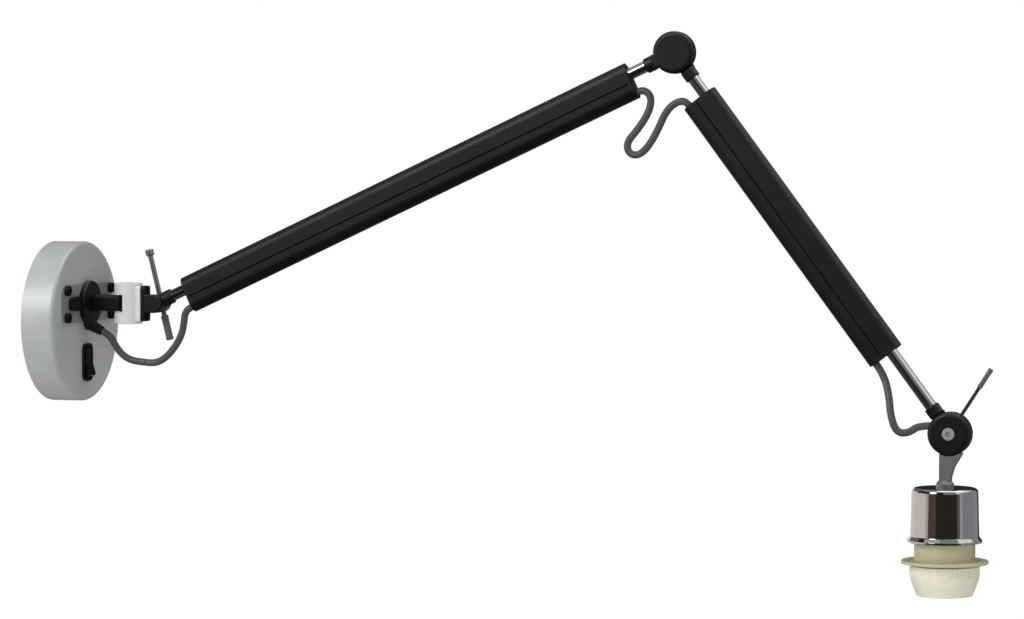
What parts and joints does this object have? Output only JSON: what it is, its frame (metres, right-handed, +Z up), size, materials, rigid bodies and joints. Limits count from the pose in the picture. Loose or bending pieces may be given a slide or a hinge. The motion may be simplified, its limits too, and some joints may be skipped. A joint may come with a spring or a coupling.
{
  "type": "articulating wall lamp",
  "caption": "Wall lamp with a round rose, swivelling bracket, two hinged slotted arms, tilting lampholder head and looped cord.",
  "frame": {"origin": "centre of the wall rose's back, on the wall face", "axes": "+X away from the wall, +Z up; the arms lie in the XZ plane and the hinge pins run along Y"},
  "size_m": [0.6798, 0.114, 0.3754],
  "materials": {
    "rose_paint": "semi-matt light grey lacquer",
    "plate_steel": "zinc-plated steel",
    "casting_grey": "dark grey casting, satin",
    "black_screws": "black oxide steel",
    "hub_black": "fine-textured black",
    "gland_rubber": "matt grey rubber",
    "terminal_plastic": "moulded",
    "terminal_brass": "plain",
    "cord_sheath": "smooth grey sheath",
    "switch_black": "satin black",
    "barrel_light": "satin turned",
    "pin_steel": "turned",
    "washer_nylon": "plain nylon",
    "knuckle_black": "satin black",
    "joint_black": "fine-textured black",
    "chrome_rod": "polished",
    "sleeve_grey": "matt",
    "arm_black": "black anodised, brushed lengthwise",
    "cap_black": "moulded",
    "block_metal": "as drawn",
    "stem_grey": "dark grey, satin",
    "cap_chrome": "polished, spun",
    "holder_cream": "moulded, satin",
    "block_ceramic": "unglazed"
  },
  "bodies": {
    "rose": {"mounting_plate": "plate_steel", "pillars": "plate_steel", "rose_cover": "rose_paint", "wall_bracket": "casting_grey", "bracket_screws": "black_screws", "hub_cover": "hub_black", "cord_gland": "gland_rubber", "terminal_block": "terminal_plastic", "terminal_screws": "terminal_brass", "cord_in_rose": "cord_sheath", "switch_housing": "switch_black", "switch_terminals": "terminal_brass", "cord_wall_loop_a": "cord_sheath"},
    "rocker": {"switch_rocker": "switch_black"},
    "swivel": {"swivel_barrel": "barrel_light", "swivel_pin": "pin_steel", "swivel_washers": "washer_nylon", "tilt_knuckle": "knuckle_black", "knuckle_screws": "black_screws", "shoulder_washer": "washer_nylon"},
    "clamp": {"clamp_bolt": "pin_steel", "lever_rod": "chrome_rod", "lever_sleeve": "sleeve_grey"},
    "arm_1": {"shoulder_eye": "knuckle_black", "arm_1_rods": "chrome_rod", "arm_1_body": "arm_black", "arm_1_end_caps": "cap_black", "arm_1_rod_blocks": "block_metal", "arm_1_grub_screws": "black_screws", "cord_in_arm_1": "cord_sheath", "elbow_front_disc": "joint_black", "elbow_pin": "pin_steel", "elbow_washer": "washer_nylon", "cord_wall_loop_b": "cord_sheath"},
    "arm_2": {"elbow_back_disc": "joint_black", "arm_2_elbow_rod": "chrome_rod", "arm_2_head_rod": "chrome_rod", "arm_2_body": "arm_black", "arm_2_end_caps": "cap_black", "arm_2_rod_blocks": "block_metal", "arm_2_grub_screws": "black_screws", "cord_in_arm_2": "cord_sheath", "head_back_disc": "joint_black", "head_bolt": "chrome_rod", "cord_elbow_loop": "cord_sheath"},
    "head": {"head_ring": "joint_black", "head_washer": "washer_nylon", "stem": "stem_grey", "handle_rod": "chrome_rod", "handle_sleeve": "sleeve_grey", "head_lead": "cord_sheath", "stem_nipple": "plate_steel", "nipple_nut": "plate_steel", "holder_cap": "cap_chrome", "holder_shell": "holder_cream", "contact_block": "block_ceramic", "thread_shell": "terminal_brass", "centre_contact": "terminal_brass", "shade_ring": "holder_cream", "cord_head_loop": "cord_sheath"}
  },
  "joints": [
    {"name": "wall_swivel", "type": "hinge", "parent": "rose", "child": "swivel", "pos_m": [0.057, 0, 0.0131], "axis": [0, 0, 1], "range_deg": [-50, 50], "deforming": ["cord_wall_loop_a"]},
    {"name": "shoulder_tilt", "type": "hinge", "parent": "swivel", "child": "arm_1", "pos_m": [0.0782, 0, 0.0131], "axis": [0, -1, 0], "range_deg": [-84, 55], "deforming": ["cord_wall_loop_b"]},
    {"name": "elbow_fold", "type": "hinge", "parent": "arm_1", "child": "arm_2", "pos_m": [0.46008, 0, 0.18794], "axis": [0, -1, 0], "range_deg": [-40, 74], "deforming": ["cord_elbow_loop"]},
    {"name": "head_tilt", "type": "hinge", "parent": "arm_2", "child": "head", "pos_m": [0.65041, 0, -0.06556], "axis": [0, -1, 0], "range_deg": [-90, 40], "deforming": ["cord_head_loop"]},
    {"name": "clamp_lever_turn", "type": "hinge", "parent": "swivel", "child": "clamp", "pos_m": [0.0782, 0, 0.0131], "axis": [0, -1, 0], "range_deg": [-30, 30]},
    {"name": "switch_press", "type": "hinge", "parent": "rose", "child": "rocker", "pos_m": [0.0226, 0, -0.0295], "axis": [0, 1, 0], "range_deg": [0, 16]}
  ]
}
